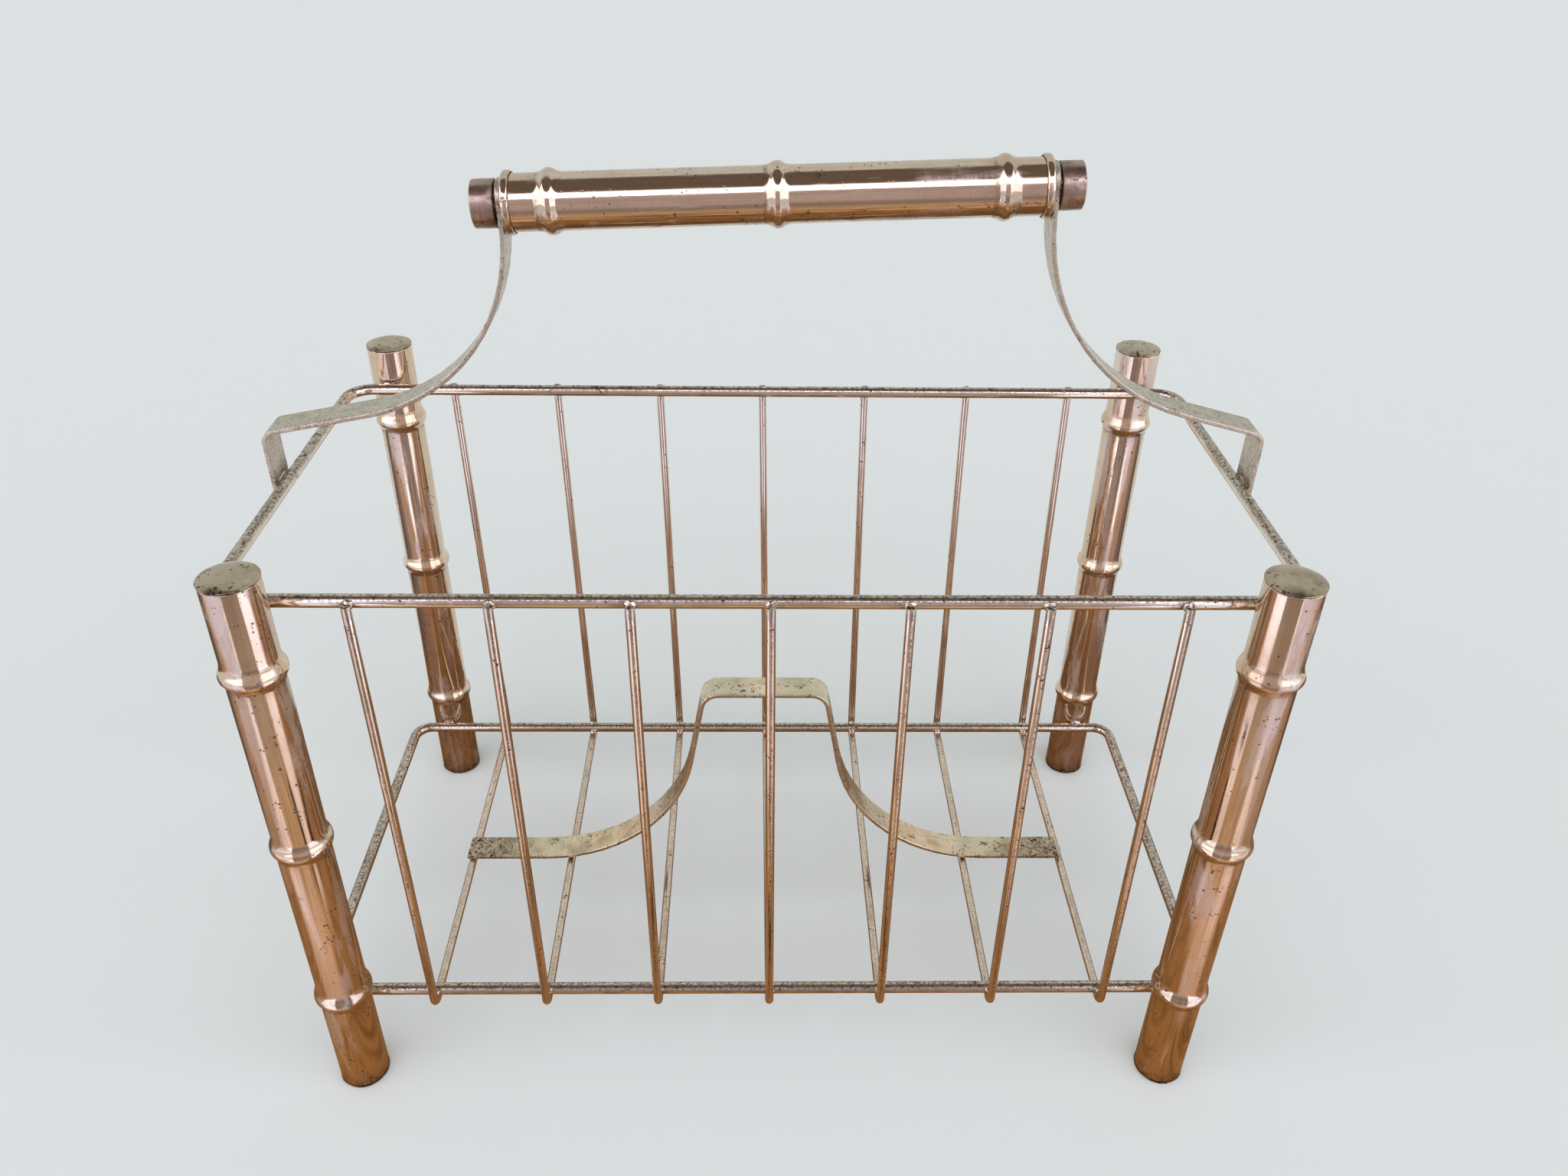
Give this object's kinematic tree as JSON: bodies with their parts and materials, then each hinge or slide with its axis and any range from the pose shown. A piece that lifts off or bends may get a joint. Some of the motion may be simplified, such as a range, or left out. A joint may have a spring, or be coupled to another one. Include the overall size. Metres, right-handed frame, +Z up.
{
  "type": "magazine rack",
  "caption": "Free-standing wire magazine rack with faux-bamboo tube legs, a bent strap divider and a carrying grip held between two swept straps.",
  "frame": {"origin": "on the floor, under the middle of the rack", "axes": "+X along the rack towards its right end, +Y from the front to the back, +Z up"},
  "size_m": [0.4242, 0.2438, 0.3982],
  "materials": {
    "tube": "polished, aged, pale champagne",
    "cap": "satin, lightly pitted",
    "wire": "polished, aged",
    "strap": "satin with polished edges",
    "knob": "dark, tarnished to a copper brown"
  },
  "bodies": {
    "rack": {"leg_front_left": "tube", "leg_front_right": "tube", "leg_back_left": "tube", "leg_back_right": "tube", "leg_cap_front_left": "cap", "leg_cap_front_right": "cap", "leg_cap_back_left": "cap", "leg_cap_back_right": "cap", "foot_cap_front_left": "cap", "foot_cap_front_right": "cap", "foot_cap_back_left": "cap", "foot_cap_back_right": "cap", "top_frame": "wire", "lower_frame": "wire", "basket_wire_1": "wire", "basket_wire_2": "wire", "basket_wire_3": "wire", "basket_wire_4": "wire", "basket_wire_5": "wire", "basket_wire_6": "wire", "basket_wire_7": "wire", "divider_strap": "strap", "handle_strap_left": "strap", "handle_strap_right": "strap", "grip_rod": "wire", "end_knob_left": "knob", "end_knob_right": "knob"},
    "grip": {"grip_tube": "tube", "grip_collar_left": "cap", "grip_collar_right": "cap"}
  },
  "joints": [
    {"name": "grip_turn", "type": "hinge", "parent": "rack", "child": "grip", "pos_m": [0.004, 0, 0.382], "axis": [0.9992, 0, 0.0393], "continuous": true}
  ]
}
